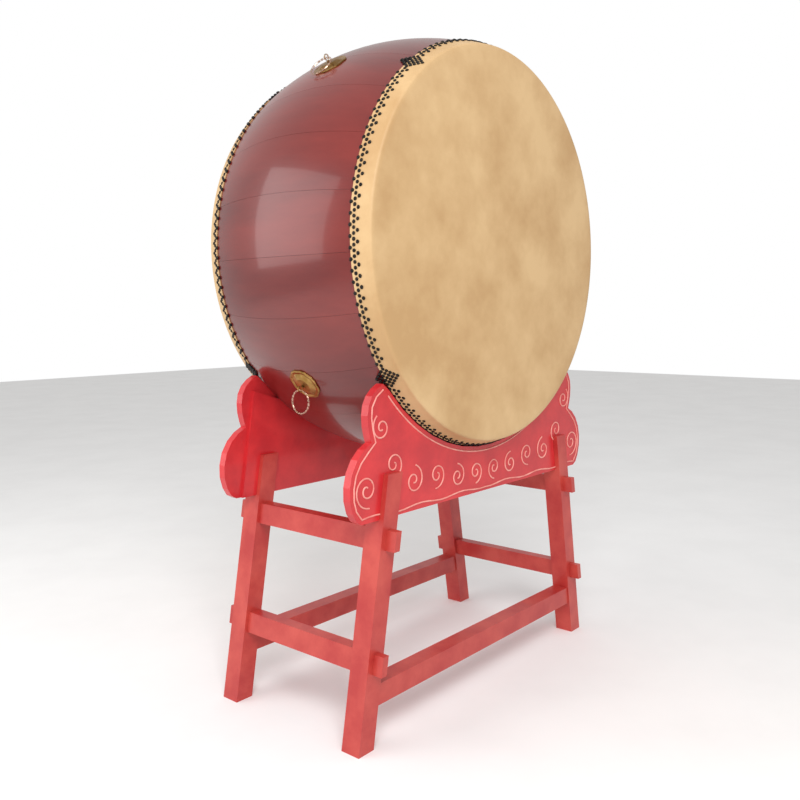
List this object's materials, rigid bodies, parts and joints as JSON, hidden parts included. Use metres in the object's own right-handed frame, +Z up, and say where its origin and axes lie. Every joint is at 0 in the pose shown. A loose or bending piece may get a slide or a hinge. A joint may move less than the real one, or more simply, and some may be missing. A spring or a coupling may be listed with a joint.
{
  "type": "barrel_drum_on_stand",
  "caption": "Barrel-shaped two-headed drum with nailed hide heads and ring handles, lying in a splayed red wooden stand with carved cloud-scroll cradle boards",
  "frame": {"origin": "On the floor under the drum's centre, midway between the feet", "axes": "+Z up; the drum's axis runs along Y with its front head facing -Y; X runs across the stand"},
  "size_m": [1.3306, 0.67, 2.0853],
  "materials": {
    "barrel_lacquer": "gloss",
    "stand_lacquer": "satin",
    "hide": "matte",
    "nail_iron": "satin",
    "aged_brass": "satin"
  },
  "bodies": {
    "stand": {"front_cradle_panel": "stand_lacquer", "rear_cradle_panel": "stand_lacquer", "front_cradle_liner": "stand_lacquer", "rear_cradle_liner": "stand_lacquer", "front_left_leg": "stand_lacquer", "front_right_leg": "stand_lacquer", "rear_left_leg": "stand_lacquer", "rear_right_leg": "stand_lacquer", "left_upper_stretcher": "stand_lacquer", "right_upper_stretcher": "stand_lacquer", "left_lower_stretcher": "stand_lacquer", "right_lower_stretcher": "stand_lacquer", "front_long_stretcher": "stand_lacquer", "rear_long_stretcher": "stand_lacquer"},
    "drum": {"stave_01": "barrel_lacquer", "stave_02": "barrel_lacquer", "stave_03": "barrel_lacquer", "stave_04": "barrel_lacquer", "stave_05": "barrel_lacquer", "stave_06": "barrel_lacquer", "stave_07": "barrel_lacquer", "stave_08": "barrel_lacquer", "stave_09": "barrel_lacquer", "stave_10": "barrel_lacquer", "stave_11": "barrel_lacquer", "stave_12": "barrel_lacquer", "stave_13": "barrel_lacquer", "stave_14": "barrel_lacquer", "stave_15": "barrel_lacquer", "stave_16": "barrel_lacquer", "stave_17": "barrel_lacquer", "stave_18": "barrel_lacquer", "stave_19": "barrel_lacquer", "stave_20": "barrel_lacquer", "stave_21": "barrel_lacquer", "stave_22": "barrel_lacquer", "stave_23": "barrel_lacquer", "stave_24": "barrel_lacquer", "front_skin": "hide", "rear_skin": "hide", "front_nail_row": "nail_iron", "rear_nail_row": "nail_iron", "left_upper_handle_plate": "aged_brass", "right_upper_handle_plate": "aged_brass", "left_lower_handle_plate": "aged_brass", "right_lower_handle_plate": "aged_brass", "left_upper_handle_pin": "aged_brass", "right_upper_handle_pin": "aged_brass", "left_lower_handle_pin": "aged_brass", "right_lower_handle_pin": "aged_brass"},
    "left_upper_ring": {"left_upper_handle_ring": "aged_brass"},
    "right_upper_ring": {"right_upper_handle_ring": "aged_brass"},
    "left_lower_ring": {"left_lower_handle_ring": "aged_brass"},
    "right_lower_ring": {"right_lower_handle_ring": "aged_brass"}
  },
  "joints": [
    {"name": "drum_lift", "type": "slide", "parent": "stand", "child": "drum", "axis": [0, 0, 1], "range_m": [0, 0.45]},
    {"name": "left_upper_ring_swing", "type": "hinge", "parent": "drum", "child": "left_upper_ring", "pos_m": [-0.42022, 0, 1.96765], "axis": [0, 1, 0], "range_deg": [0, 208]},
    {"name": "right_upper_ring_swing", "type": "hinge", "parent": "drum", "child": "right_upper_ring", "pos_m": [0.54765, 0, 1.84022], "axis": [0, 1, 0], "range_deg": [-208, 0]},
    {"name": "left_lower_ring_swing", "type": "hinge", "parent": "drum", "child": "left_lower_ring", "pos_m": [-0.54765, 0, 0.99978], "axis": [0, 1, 0], "range_deg": [-51, 156]},
    {"name": "right_lower_ring_swing", "type": "hinge", "parent": "drum", "child": "right_lower_ring", "pos_m": [0.42022, 0, 0.87235], "axis": [0, 1, 0], "range_deg": [-141, 66]}
  ]
}
